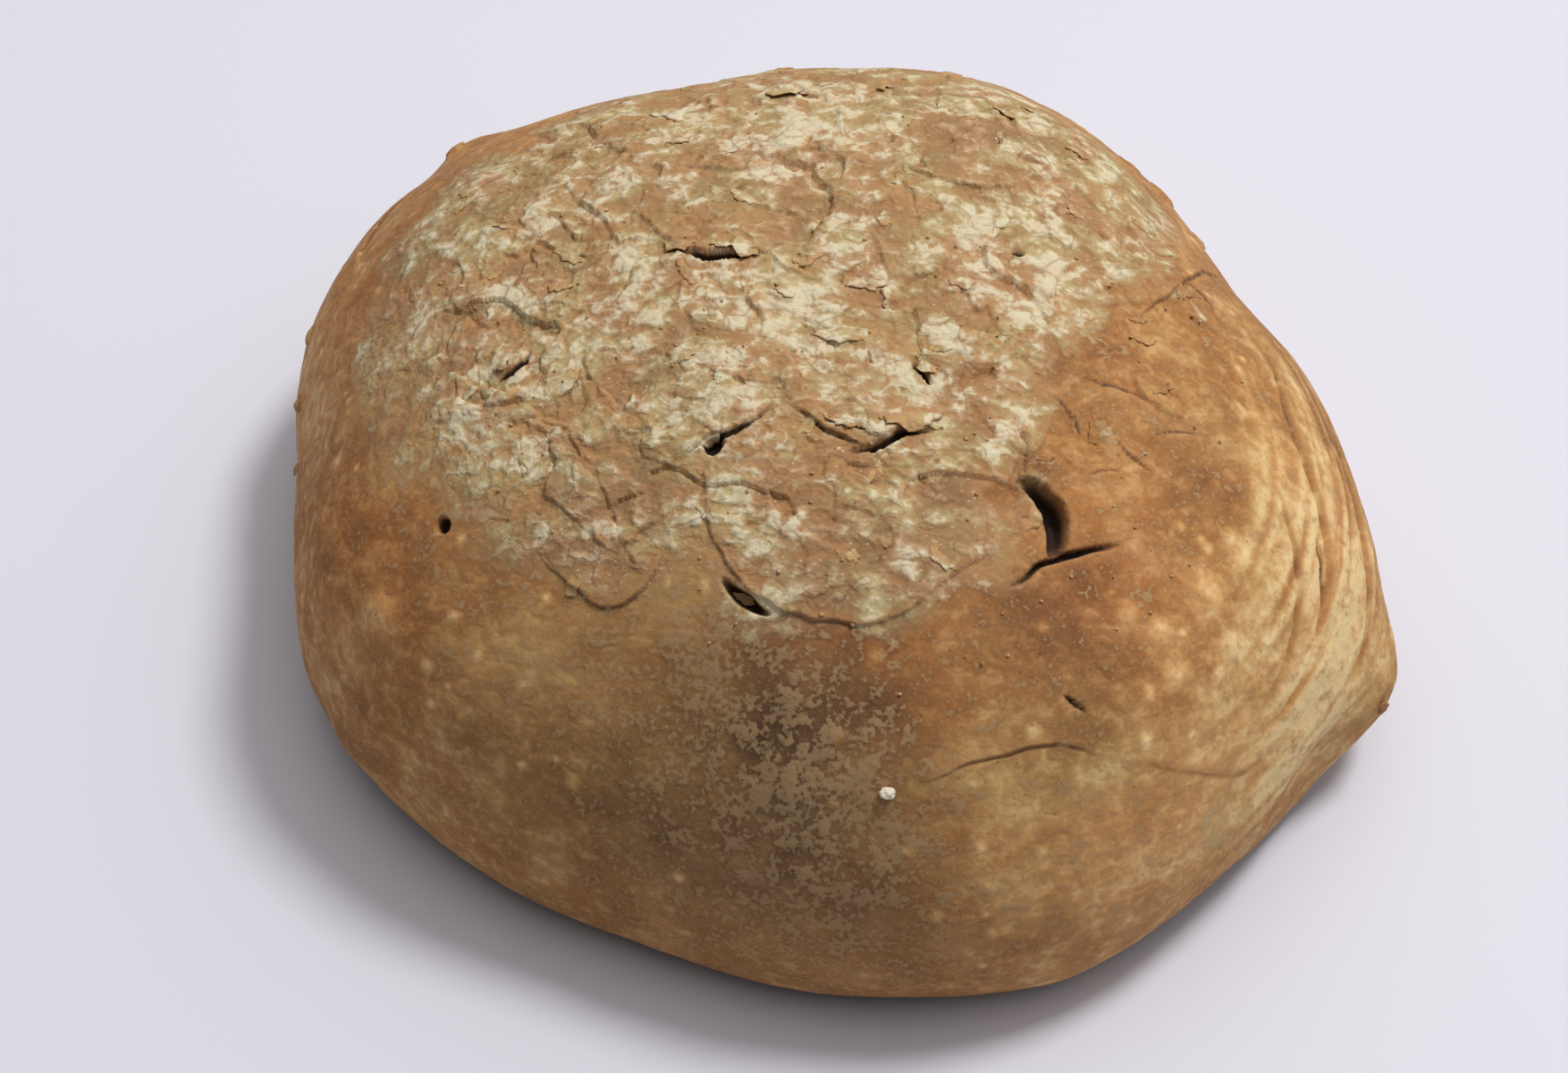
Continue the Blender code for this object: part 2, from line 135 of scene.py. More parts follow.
TEARS = [
    # the front edge of the crown's big plate, scalloped, with a bold gap at its right
    tear([(-30, -45), (-27, -41), (-18, -38), (-11, -32)], gap=1.2, depth=1.6, lift=1.2),
    tear([(-9, -32), (-4, -36), (2, -40), (8, -43)], gap=1.0, depth=1.4, lift=1.1),
    tear([(4, -44), (10, -42), (16, -38), (22, -37)], gap=2.4, depth=4.2, lift=1.4),
    # the round plate in front: its lower edge, and the slot at the lower left
    tear([(36, -61), (24, -70), (12, -78), (-4, -77), (-16, -71), (-24, -60), (-26, -46)],
         gap=0.8, depth=0.7, lift=-1.0, reach=14),
    tear([(-22, -68), (-18, -72), (-12, -76)], gap=2.8, depth=4.0, lift=0.9),
    # the plate on its left
    tear([(-60, -59), (-53, -65), (-46, -70), (-39, -68), (-33, -61)],
         gap=0.8, depth=0.7, lift=0.9, reach=12),
    # the burst blister, the crack from its foot and the hair crack above it
    tear([(39, -47), (44, -50), (47, -56), (46, -64)], gap=5.6, depth=7.0, lift=0.8, reach=6),
    tear([(37, -71), (42, -66), (50, -62), (60, -58)], gap=1.9, depth=3.0, lift=-0.8),
    tear([(39, -31), (41, -39), (41, -47)], gap=0.9, depth=1.3, lift=0.5),
    # the crown, left to right
    tear([(-82, 44), (-74, 49)], gap=1.3, depth=1.2, lift=0.6),
    tear([(-64, 50), (-55, 53), (-44, 52)], gap=1.9, depth=3.0, lift=-1.0),
    tear([(-60, 29), (-56, 21), (-50, 19)], gap=1.0, depth=1.0, lift=0.8),
    tear([(-72, -17), (-67, -15), (-64, -10)], gap=1.7, depth=2.2, lift=1.2),
    tear([(-43, 27), (-36, 16), (-30, 12)], gap=0.9, depth=0.9, lift=0.9),
    tear([(-33, 13), (-27, 8), (-20, 8), (-12, 9)], gap=1.8, depth=3.0, lift=1.4),
    tear([(-13, 9), (-9, 4), (-2, 1)], gap=0.9, depth=0.9, lift=0.8),
    tear([(-28, -21), (-22, -25), (-14, -27), (-6, -24)], gap=1.0, depth=1.0, lift=0.9),
    tear([(28, -9), (34, -11), (42, -17)], gap=1.0, depth=1.0, lift=-0.9),
    tear([(18, -20), (22, -26)], gap=2.0, depth=2.4, lift=0.6),
    tear([(-20, 75), (-10, 68), (-1, 66)], gap=2.0, depth=2.8, lift=-1.0),
    tear([(4, 81), (14, 79), (22, 83)], gap=1.8, depth=2.2, lift=-1.0),
    tear([(14, 36), (30, 30), (46, 34)], gap=0.9, depth=0.9, lift=1.0),
    tear([(-34, 40), (-18, 36), (-4, 42), (8, 38)], gap=0.9, depth=0.9, lift=1.1),
    # where the floured crown meets the smooth right cheek
    tear([(66, -2), (74, 9), (84, 27), (92, 38)], gap=1.0, depth=1.1, lift=0.9),
    tear([(54, -21), (62, -22), (70, -24)], gap=1.3, depth=1.2, lift=-0.5),
    tear([(69, -31), (80, -28)], gap=1.1, depth=0.9, lift=-0.4),
    # the front: two short cracks and the crease under the cheek
    tear([(47, -88), (52, -90)], gap=1.6, depth=1.6, lift=-0.6),
    tear([(18, -104), (32, -100), (46, -96), (56, -96)], gap=1.4, depth=0.8, lift=0.6),
    tear([(56, -96), (72, -93), (88, -87), (100, -76)], gap=3.0, depth=0.4, lift=0.3),
    # folds of the tail, which run round the right end
    tear([(94, 32), (101, -12), (108, -38), (106, -58), (98, -74), (86, -88)], gap=2.6, depth=1.2, lift=0.9),
    tear([(110, 12), (115, -12), (119, -34), (118, -52), (112, -66)], gap=2.4, depth=1.1, lift=0.8),
    tear([(95, -32), (101, -48), (98, -66), (90, -80)], gap=2.0, depth=0.9, lift=0.7),
    tear([(106, -40), (107, -54)], gap=1.6, depth=2.0, lift=0.5),
    # the back, which the same oven tore in the same way
    tear([(60, 82), (46, 96), (30, 101)], gap=1.6, depth=1.8, lift=0.9),
    tear([(-52, 92), (-40, 99), (-24, 101)], gap=1.8, depth=2.0, lift=1.0),
    tear([(88, 50), (80, 66), (72, 72)], gap=1.4, depth=1.4, lift=0.8),
    tear([(-108, 40), (-104, 58), (-96, 70)], gap=1.2, depth=1.0, lift=0.8),
]

# A small round hole where a bubble burst: place, radius and depth. Its wall stands between these shares of
# the radius.
BURST_WALL = (0.5, 1.0)
Burst = namedtuple("Burst", "x y radius depth")
BURSTS = [
    Burst(-82 * MM, -46 * MM, 2.2 * MM, 3.0 * MM),
    Burst(-24 * MM, -41 * MM, 2.6 * MM, 3.2 * MM),
    Burst(41 * MM, 11 * MM, 1.6 * MM, 2.0 * MM),
    Burst(16 * MM, 91 * MM, 3.0 * MM, 3.0 * MM),
]

# Short hair cracks scattered over the crown.
HAIR_CRACKS = 90
HAIR_LENGTH = (4 * MM, 13 * MM)
HAIR_GAP = (0.45, 0.8)
HAIR_DEPTH = (0.5, 1.1)
HAIR_LIFT = (0.3, 0.9)
HAIR_REACH = 4
HAIR_SEED = 11

# Edges wander by this much, at this wavelength, so that no tear is a clean line.
RAGGED_BY = 0.7 * MM
RAGGED_EVERY = 5 * MM
EDGE_STEP = 0.9 * MM
ROUTE_STEPS = 10

# A tear narrows and grows shallow towards its ends, where this share of its gap is left. Its walls stand
# between these shares of half the gap, and its lift has died away after so many times its reach.
TAPER_POWER = 0.7
END_GAP = 0.35
WALL = (0.45, 1.1)
LIFT_FADES = 4
SHALLOWEST = 0.25

# The floured crown's outline in plan, in millimetres, counter-clockwise from the left. Its edge fades over
# this width and wanders by this much at this wavelength, and the flour ends on the flanks between two heights.
FLOUR_OUTLINE = [
    (-96, -15), (-83, -33), (-71, -50), (-57, -63), (-46, -68), (-36, -66), (-25, -60), (-20, -69),
    (-7, -76), (13, -77), (33, -67), (38, -54), (41, -38), (46, -23), (60, -8), (80, 22),
    (77, 44), (64, 66), (41, 84), (14, 92), (-15, 90), (-42, 82), (-66, 68), (-84, 52),
    (-95, 36), (-99, 12),
]
FLOUR_FADE = 8 * MM
FLOUR_WANDER = 9 * MM
FLOUR_WANDER_EVERY = 16 * MM
FLOUR_HEIGHTS = (40 * MM, 62 * MM)

# Zones of the crust, in millimetres: place, height, radius, and how much is added there.
Zone = namedtuple("Zone", "x y level radius amount")
CROWN_FLOUR = 0.60
FLOUR_ZONES = [
    # whitest on the crown
    Zone(47, 5, 102, 12, 0.34),
    Zone(-11, -11, 106, 12, 0.28),
    Zone(-3, 51, 102, 17, 0.32),
    Zone(30, 66, 92, 16, 0.22),
    Zone(4, 62, 98, 24, 0.12),
    Zone(5, 9, 107, 11, 0.16),
    Zone(-41, -31, 101, 14, 0.10),
    # rubbed off
    Zone(15, 34, 106, 10, -0.30),
    Zone(-23, 31, 104, 8, -0.24),
    Zone(33, 52, 101, 10, -0.10),
    Zone(30, -50, 101, 12, -0.28),
    Zone(-44, -45, 97, 9, -0.14),
    Zone(2, -58, 99, 16, -0.16),
    Zone(62, -6, 98, 12, -0.30),
    # the hollow under the cheek
    Zone(80, -92, 38, 10, 0.24),
]
DUST_ZONES = [
    # the front
    Zone(-7, -91, 78, 24, 0.42),
    Zone(2, -108, 60, 26, 0.32),
    Zone(-26, -109, 39, 30, 0.26),
    Zone(12, -118, 36, 26, 0.26),
    Zone(-59, -72, 76, 18, 0.36),
    Zone(-29, -76, 86, 14, 0.45),
    Zone(-79, -41, 86, 18, 0.34),
    Zone(-86, 60, 80, 22, 0.40),
    # the lower right
    Zone(62, -106, 38, 24, 0.40),
]
BAKE = 0.46
BAKE_ZONES = [
    # the dark front
    Zone(-7, -91, 78, 24, 0.24),
    Zone(2, -108, 58, 28, 0.22),
    Zone(-30, -102, 50, 34, 0.13),
    Zone(12, -118, 34, 24, 0.11),
    Zone(-84, -46, 78, 18, 0.06),
    # the cheek, and the paler tail and lower right
    Zone(58, -62, 88, 30, 0.12),
    Zone(48, -75, 86, 16, 0.12),
    Zone(33, -93, 75, 12, -0.12),
    Zone(110, -38, 63, 22, -0.36),
    Zone(105, -62, 51, 22, -0.46),
    Zone(97, -25, 78, 16, -0.12),
    Zone(97, -76, 40, 20, -0.26),
    Zone(56, -97, 66, 10, -0.08),
    Zone(66, -106, 40, 26, -0.30),
    Zone(30, -112, 50, 16, -0.14),
    # the left rim
    Zone(-120, 22, 46, 26, -0.22),
    Zone(-116, 52, 46, 22, -0.16),
    Zone(-118, -30, 40, 24, -0.10),
]
WARMTH = 0.42
WARM_ZONES = [
    Zone(58, -66, 88, 24, 0.45),
    Zone(66, -20, 96, 16, 0.15),
    Zone(13, -84, 87, 16, 0.40),
    Zone(-12, -80, 88, 12, 0.30),
    Zone(-112, 20, 60, 34, 0.40),
    Zone(-92, -52, 66, 30, 0.28),
    Zone(-96, 72, 62, 26, 0.35),
    Zone(-112, -38, 52, 24, 0.20),
    Zone(60, -108, 38, 30, 0.30),
    Zone(39, -98, 69, 10, -0.40),
    Zone(56, -96, 66, 10, -0.35),
    Zone(-57, 37, 96, 14, -0.40),
    Zone(-44, -96, 60, 30, -0.35),
    Zone(0, -104, 62, 24, -0.25),
    Zone(105, -62, 51, 26, -0.36),
    Zone(4, 60, 98, 34, -0.25),
]
CROWN_BAKE = 0.20
CROWN_WARMTH = 0.0
# Painted shade in the grooves of tears, added to the bake darkness, strongest where a groove is deep and narrow.
GROOVE_SHADE = 0.7
# Darker towards the foot up to this height: partly the underside's real darker bake, partly painted shade for the
# contact shadow under the heel.
FOOT_BAKE_AND_SHADE = 0.55
FOOT_BAKE_AND_SHADE_HEIGHT = 9 * MM
TONE_WAVES = ((30 * MM, 0.10), (11 * MM, 0.12))
TONE_ORIGIN = Vector((8.8, 2.2, 5.5))

# The stretched dough of the tail runs in arcs round this plan place: streaks this wide, and how much they
# add to relief, flour and bake within the zones.
STREAK_MIDDLE = (34 * MM, -34 * MM)
STREAK_WIDTH = 3.4 * MM
STREAK_TURNS = 1.6
STREAK_RELIEF = 0.32 * MM
STREAK_WARMTH = 0.7
STREAK_BAKE = 0.5
STREAK_ZONES = [
    Zone(106, -44, 62, 24, 1.0),
    Zone(98, -72, 45, 22, 0.9),
    Zone(108, 0, 58, 28, 0.7),
]

# Small blisters, paler on top: places, radii and heights in millimetres, and the seeded ones between.
Blister = namedtuple("Blister", "x y radius height")
BLISTERS = [
    Blister(79, -63, 4.2, 0.8),
    Blister(71, -79, 3.4, 0.7),
    Blister(67, -73, 2.6, 0.5),
    Blister(84, -70, 2.8, 0.6),
    Blister(61, -71, 2.4, 0.5),
    Blister(88, -53, 3.0, 0.5),
    Blister(-96, -56, 4.5, 0.8),
]
BLISTER_PALE = 0.35
SEEDED_BLISTERS = 120
SEEDED_RADII = (0.7, 1.6)
BLISTER_RISE = 0.18
BLISTER_SEED = 5

OLIVE_CRUST = [
    (0.00, (232, 204, 148)),
    (0.25, (204, 167, 108)),
    (0.50, (164, 124, 75)),
    (0.75, (120, 90, 59)),
    (1.00, (70, 51, 37)),
]
RED_CRUST = [
    (0.00, (234, 186, 132)),
    (0.25, (210, 150, 92)),
    (0.50, (170, 109, 58)),
    (0.75, (124, 77, 46)),
    (1.00, (72, 45, 30)),
]
FLOUR_COLOUR = (221, 209, 176)
THIN_FLOUR_COLOUR = (192, 173, 126)
TAN_FLOUR_COLOUR = (190, 154, 114)
DUST_COLOUR = (184, 151, 108)
WHITE_COLOUR = (232, 224, 206)
# Painted shade in cracks, burst holes and pores and under flakes.
CRACK_SHADE_COLOUR = (46, 29, 19)
TORN_EDGE_COLOUR = (196, 142, 90)
VEIN_COLOUR = (128, 80, 48)

FLOOR_SIZE = 4.0
FLOOR_COLOUR = (224, 223, 232)
# The sky is brightest towards this direction, and falls off between these cosines of the angle from it.
SKY_COLOUR = (1.0, 0.99, 1.0)
SKY_AXIS = Vector((0.22, 0.28, 0.93)).normalized()
SKY_COSINES = (0.30, 1.05)
SKY_STRENGTHS = (0.04, 1.02)
KEY_PLACE = Vector((0.9, 0.5, 2.2))
KEY_SIZE = 0.6
KEY_POWER = 33

GRAIN_PLACE = (10 * MM, -103 * MM, 68 * MM)
GRAIN_RADII = (1.7 * MM, 1.3 * MM, 1.1 * MM)
GRAIN_COLOUR = (236, 226, 210)

# Flakes of crust that stand up at one side: where, which way the free edge points in degrees, half the
# length and width, and how high the free edge stands. Sizes in millimetres.
Flake = namedtuple("Flake", "x y level heading length width lift")
FLAKES_SHOWN = [
    Flake(-72, -10, 94, -60, 3.4, 2.4, 1.1),
    Flake(-22, 12, 107, -90, 3.8, 5.6, 1.0),
    Flake(-34, 16, 106, -100, 3.0, 4.0, 0.7),
    Flake(15, -32, 104, -80, 4.2, 6.4, 1.1),
    Flake(19, -19, 105, -120, 2.7, 2.6, 1.0),
    Flake(11, 73, 95, -90, 2.5, 3.2, 0.9),
    Flake(-11, 71, 97, -90, 2.9, 4.8, 0.9),
    Flake(-55, 55, 94, -80, 2.9, 4.8, 0.9),
    Flake(-27, -38, 103, -70, 2.5, 3.2, 0.8),
    Flake(-18, -66, 90, 60, 2.5, 3.2, 0.7),
    Flake(-56, -62, 85, -100, 3.1, 4.0, 0.6),
    Flake(2, -34, 104, -90, 3.1, 4.8, 0.7),
    Flake(35, -9, 103, -90, 3.1, 4.0, 0.7),
    Flake(77, 66, 66, 30, 2.9, 4.0, 0.9),
    Flake(86, 58, 62, 20, 2.2, 4.0, 0.9),
    Flake(70, 74, 66, 60, 2.2, 3.2, 0.7),
    Flake(28, 88, 86, 80, 2.2, 3.2, 0.7),
    Flake(-12, 98, 72, 90, 2.2, 3.2, 0.7),
    Flake(-120, 40, 46, 170, 2.0, 2.4, 1.0),
    Flake(-124, 23, 42, 180, 2.2, 2.2, 1.1),
    Flake(-124, 6, 40, 190, 2.0, 2.1, 1.1),
    Flake(-88, 84, 60, 130, 2.4, 3.2, 0.9),
    Flake(122, -52, 24, -30, 2.5, 2.7, 1.1),
]
FLAKE_THICK = 0.4 * MM
FLAKE_FLOUR = 0.75
FLAKE_ROOT = 0.5 * MM
FLAKE_RAGGED = 0.5
FLAKE_RINGS = 5
FLAKE_SPOKES = 28
SMALL_FLAKES = 60
SMALL_LENGTH = (1.6, 3.4)
SMALL_LIFT = (0.1, 0.35)
FLAKE_SEED = 23

# Crumbs and lumps of flour that lie loose on the crust.
CRUMBS = 150
CRUMB_REACH = 0.72
CRUMB_RADII = (0.25, 0.6)
CRUMB_SINKS = 0.4
CRUMB_FLOUR = 0.5
CRUMB_SEED = 31


def linear(colour):
    """A colour given in sRGB from 0 to 255, as the renderer's linear colour."""
    shares = [part / 255 for part in colour]
    return (*(s / 12.92 if s <= 0.04045 else ((s + 0.055) / 1.055) ** 2.4 for s in shares), 1.0)


def smoothstep(low, high, values):
    t = np.clip((values - low) / (high - low), 0.0, 1.0)
    return t * t * (3 - 2 * t)


def spline(before, start, end, after, share):
    """A point on the Catmull-Rom curve from start to end."""
    slope_in = (end - before) / 2
    slope_out = (after - start) / 2
    rise = end - start
    return (start + slope_in * share
            + (3 * rise - 2 * slope_in - slope_out) * share**2
            + (slope_in + slope_out - 2 * rise) * share**3)


def plan_radius(bearing):
    """The loaf's radius in plan at each bearing, on a smooth closed curve through PLAN_RADII."""
    radii = np.array(PLAN_RADII) * MM
    turns = bearing / math.tau * len(radii)
    index = np.floor(turns).astype(int)
    before, start, end, after = (radii[(index + k) % len(radii)] for k in (-1, 0, 1, 2))
    return spline(before, start, end, after, turns - index)


def body_points(directions):
    """The smooth loaf: each direction of the unit sphere goes to its place on dome, heel or foot."""
    bearing = np.arctan2(directions[:, 1], directions[:, 0])
    latitude = np.arcsin(np.clip(directions[:, 2], -1.0, 1.0))
    up = np.clip(latitude, 0, math.pi / 2)
    heel = np.clip(latitude / FOOT_LATITUDE, 0, 1) * math.pi / 2
    inward = np.clip((latitude - FOOT_LATITUDE) / (-math.pi / 2 - FOOT_LATITUDE), 0, 1)

    dome_share = np.cos(up) ** DOME_FULLNESS
    heel_share = FOOT_SHARE + (1 - FOOT_SHARE) * np.cos(heel)
    foot_share = FOOT_SHARE * (1 - inward)
    share = np.where(latitude >= 0, dome_share, np.where(inward > 0, foot_share, heel_share))

    dome_height = WIDEST_HEIGHT + (HEIGHT - WIDEST_HEIGHT) * np.sin(up) ** CROWN_FULLNESS
    heel_height = WIDEST_HEIGHT * (1 - np.sin(heel))
    height = np.where(latitude >= 0, dome_height, heel_height)

    reach = plan_radius(bearing) * share
    return np.stack([reach * np.cos(bearing), reach * np.sin(bearing), height], axis=1)


def crown_point(x, y):
    """The place on the smooth dome that lies above a plan place, in the frame of the radii."""
    x, y = x + PLACES_FROM[0], y + PLACES_FROM[1]
    bearing = math.atan2(y, x)
    radius = float(plan_radius(np.array([bearing]))[0])
    share = min(math.hypot(x, y) / radius, 1.0)
    latitude = math.acos(share ** (1 / DOME_FULLNESS))
    height = WIDEST_HEIGHT + (HEIGHT - WIDEST_HEIGHT) * math.sin(latitude) ** CROWN_FULLNESS
    return np.array([x, y, height])


def noise_at(points, wavelength, origin=SWELL_ORIGIN):
    """Smooth noise from -1 to 1 at each point."""
    return np.array([noise.noise(Vector(p) / wavelength + origin) for p in points.tolist()])


def swell_relief(points):
    """The dough's slow unevenness, and its named swellings and hollows."""
    relief = sum(height * noise_at(points, wavelength) for wavelength, height in SWELLS)
    for swelling in SWELLINGS:
        centre = np.array([swelling.x + PLACES_FROM[0], swelling.y + PLACES_FROM[1], swelling.level])
        distance = np.linalg.norm(points - centre, axis=1) / swelling.radius
        relief += swelling.height * np.exp(-distance**2)
    return relief


def crown_share(points):
    """1 on the floured crown, 0 well outside it, with a wandering edge between."""
    across = (points[:, 0] - PLACES_FROM[0] - CROWN_MIDDLE[0]) / CROWN_RADII[0]
    deep = (points[:, 1] - PLACES_FROM[1] - CROWN_MIDDLE[1]) / CROWN_RADII[1]
    outward = np.hypot(across, deep) + CROWN_WANDER * noise_at(points, SWELLS[1][0])
    return 1 - smoothstep(*CROWN_FADE, outward)


def plate_pattern(points, plates):
    """Relief, tone from -1 to 1, and nearness to an edge from 0 to 1, of cells in a warped pattern."""
    noise.seed_set(PLATE_SEED)
    relief = np.zeros(len(points))
    tone = np.zeros(len(points))
    edge = np.zeros(len(points))
    for i, place in enumerate(points.tolist()):
        place = Vector(place)
        bent = (place + plates.warp_by * noise.noise_vector(place / plates.warp_every)) / plates.size
        distances, seeds = noise.voronoi(bent + plates.origin)
        own = seeds[0] * CELL_SPREAD
        tone[i] = noise.cell(own)
        offset = bent + plates.origin - seeds[0]
        lean = plates.tilt * plates.size * (noise.cell_vector(own) - HALF).dot(offset)
        edge[i] = max(1 - (distances[1] - distances[0]) * plates.size / plates.gap, 0)
        relief[i] = plates.step / 2 * tone[i] + lean - plates.gap_depth * edge[i]
    return relief, tone, edge


def smooth_route(places):
    """Points along the smooth curve through the plan places, up on the dome."""
    corners = [crown_point(x, y) for x, y in places]
    corners = [2 * corners[0] - corners[1], *corners, 2 * corners[-1] - corners[-2]]
    route = [spline(*corners[i : i + 4], step / ROUTE_STEPS)
             for i in range(len(corners) - 3) for step in range(ROUTE_STEPS)]
    return np.array([*route, corners[-2]])


def across_route(points, normals, route):
    """Each point's distance from the route, above 0 on its left, and its place along it from 0 to 1."""
    best = np.full(len(points), np.inf)
    signed = np.zeros(len(points))
    along = np.zeros(len(points))
    lengths = np.linalg.norm(np.diff(route, axis=0), axis=1)
    passed = np.concatenate([[0], np.cumsum(lengths)]) / lengths.sum()
    for i in range(len(lengths)):
        run = route[i + 1] - route[i]
        share = np.clip((points - route[i]) @ run / (run @ run), 0, 1)
        away = points - route[i] - share[:, None] * run
        distance = np.linalg.norm(away, axis=1)
        side = np.where(np.einsum("ij,ij->i", np.cross(run, away), normals) >= 0, 1.0, -1.0)
        nearer = distance < best
        best = np.where(nearer, distance, best)
        signed = np.where(nearer, distance * side, signed)
        along = np.where(nearer, passed[i] + share * (passed[i + 1] - passed[i]), along)
    return signed, along


def tear_shape(points, normals, torn):
    """The points that a tear reaches, and there its relief, its gap from 0 to 1 and its lifted edge from 0 to 1."""
    route = smooth_route(torn.route)
    middle = route.mean(axis=0)
    reach = np.linalg.norm(route - middle, axis=1).max() + LIFT_FADES * torn.reach
    near = np.flatnonzero(np.linalg.norm(points - middle, axis=1) < reach)
    signed, along = across_route(points[near], normals[near], route)
    signed = signed + RAGGED_BY * noise_at(points[near], RAGGED_EVERY)
    taper = np.sin(math.pi * np.clip(along, 0, 1)) ** TAPER_POWER
    half_gap = torn.gap / 2 * (END_GAP + (1 - END_GAP) * taper)
    groove = 1 - smoothstep(WALL[0] * half_gap, WALL[1] * half_gap, np.abs(signed))
    side = signed * np.sign(torn.lift)
    past_edge = np.maximum(side - half_gap, 0)
    raised = smoothstep(-EDGE_STEP / 2, EDGE_STEP / 2, side)
    lifted = np.exp(-past_edge / torn.reach) * raised
    rim = taper * raised * np.exp(-past_edge / EDGE_STEP)
    depth = torn.depth * (SHALLOWEST + (1 - SHALLOWEST) * cut_share(torn))
    return near, taper * (abs(torn.lift) * lifted - depth * groove), taper * groove, rim


def hair_cracks():
    """Short tears at seeded places on the crown, mostly running across the loaf."""
    draw = random.Random(HAIR_SEED)
    cracks = []
    while len(cracks) < HAIR_CRACKS:
        x = CROWN_MIDDLE[0] + draw.uniform(-1, 1) * CROWN_RADII[0]
        y = CROWN_MIDDLE[1] + draw.uniform(-1, 1) * CROWN_RADII[1]
        length = draw.uniform(*HAIR_LENGTH)
        heading = draw.gauss(0, 0.7)
        bend = draw.uniform(-0.25, 0.25) * length
        ahead = np.array([math.cos(heading), math.sin(heading)]) * length / 2
        aside = np.array([-math.sin(heading), math.cos(heading)]) * bend
        gap, depth, lift = (draw.uniform(*span) for span in (HAIR_GAP, HAIR_DEPTH, HAIR_LIFT))
        lift *= draw.choice((-1, 1))
        if math.hypot((x - CROWN_MIDDLE[0]) / CROWN_RADII[0], (y - CROWN_MIDDLE[1]) / CROWN_RADII[1]) > 1:
            continue
        middle = np.array([x, y])
        places = [tuple(p / MM) for p in (middle - ahead, middle + aside, middle + ahead)]
        cracks.append(tear(places, gap, depth, lift, HAIR_REACH))
    return cracks


def zone_sum(points, zones):
    """What the zones add up to at each point."""
    total = np.zeros(len(points))
    for zone in zones:
        centre = np.array([zone.x, zone.y, zone.level]) * MM
        distance = np.linalg.norm(points - centre, axis=1) / (zone.radius * MM)
        total += zone.amount * np.exp(-distance**2)
    return total


def flour_share(points):
    """1 well inside the floured crown's outline, 0 well outside it, with a wandering edge between."""
    outline = np.array(FLOUR_OUTLINE) * MM
    plan = points[:, :2]
    nearest = np.full(len(plan), np.inf)
    inside = np.zeros(len(plan), dtype=bool)
    for start, end in zip(outline, np.roll(outline, -1, axis=0)):
        run = end - start
        share = np.clip((plan - start) @ run / (run @ run), 0, 1)
        nearest = np.minimum(nearest, np.linalg.norm(plan - start - share[:, None] * run, axis=1))
        level_share = (plan[:, 1] - start[1]) / run[1]
        crosses = (level_share >= 0) & (level_share < 1)
        inside ^= crosses & (plan[:, 0] < start[0] + run[0] * level_share)
    inward = np.where(inside, nearest, -nearest)
    inward += FLOUR_WANDER * noise_at(points, FLOUR_WANDER_EVERY, TONE_ORIGIN)
    return smoothstep(-FLOUR_FADE, FLOUR_FADE, inward) * smoothstep(*FLOUR_HEIGHTS, points[:, 2])


def streaks(points):
    """Streaks from -1 to 1 that run in arcs round the tail, faded out away from it."""
    strength = np.clip(zone_sum(points, STREAK_ZONES), 0, 1)
    near = np.flatnonzero(strength > 0.02)
    aside, deep = points[near, 0] - STREAK_MIDDLE[0], points[near, 1] - STREAK_MIDDLE[1]
    down_the_flank = (np.hypot(aside, deep) - points[near, 2]) / STREAK_WIDTH
    turned = np.arctan2(deep, aside) * STREAK_TURNS
    place = np.stack([down_the_flank, turned, np.zeros(len(near))], axis=1)
    wave = np.zeros(len(points))
    wave[near] = strength[near] * noise_at(place, 1.0, TONE_ORIGIN)
    return wave


def all_blisters():
    """The blisters that show, and seeded small ones all round the flanks."""
    draw = random.Random(BLISTER_SEED)
    blisters = list(BLISTERS)
    for _ in range(SEEDED_BLISTERS):
        bearing = draw.uniform(-math.pi, math.pi)
        reach = draw.uniform(0.62, 0.985) * float(plan_radius(np.array([bearing]))[0]) / MM
        radius = draw.uniform(*SEEDED_RADII)
        x, y = reach * math.cos(bearing), reach * math.sin(bearing)
        blisters.append(Blister(x, y, radius, BLISTER_RISE * radius))
    return blisters


def cut_share(torn):
    """How much painted shade fills a tear's gap, and how deep it is cut, from 0 for a shallow fold to 1 for a deep and
    narrow crack.
    """
    return float(smoothstep(0.35, 1.3, torn.depth / torn.gap) * smoothstep(0.6 * MM, 2.0 * MM, torn.depth))


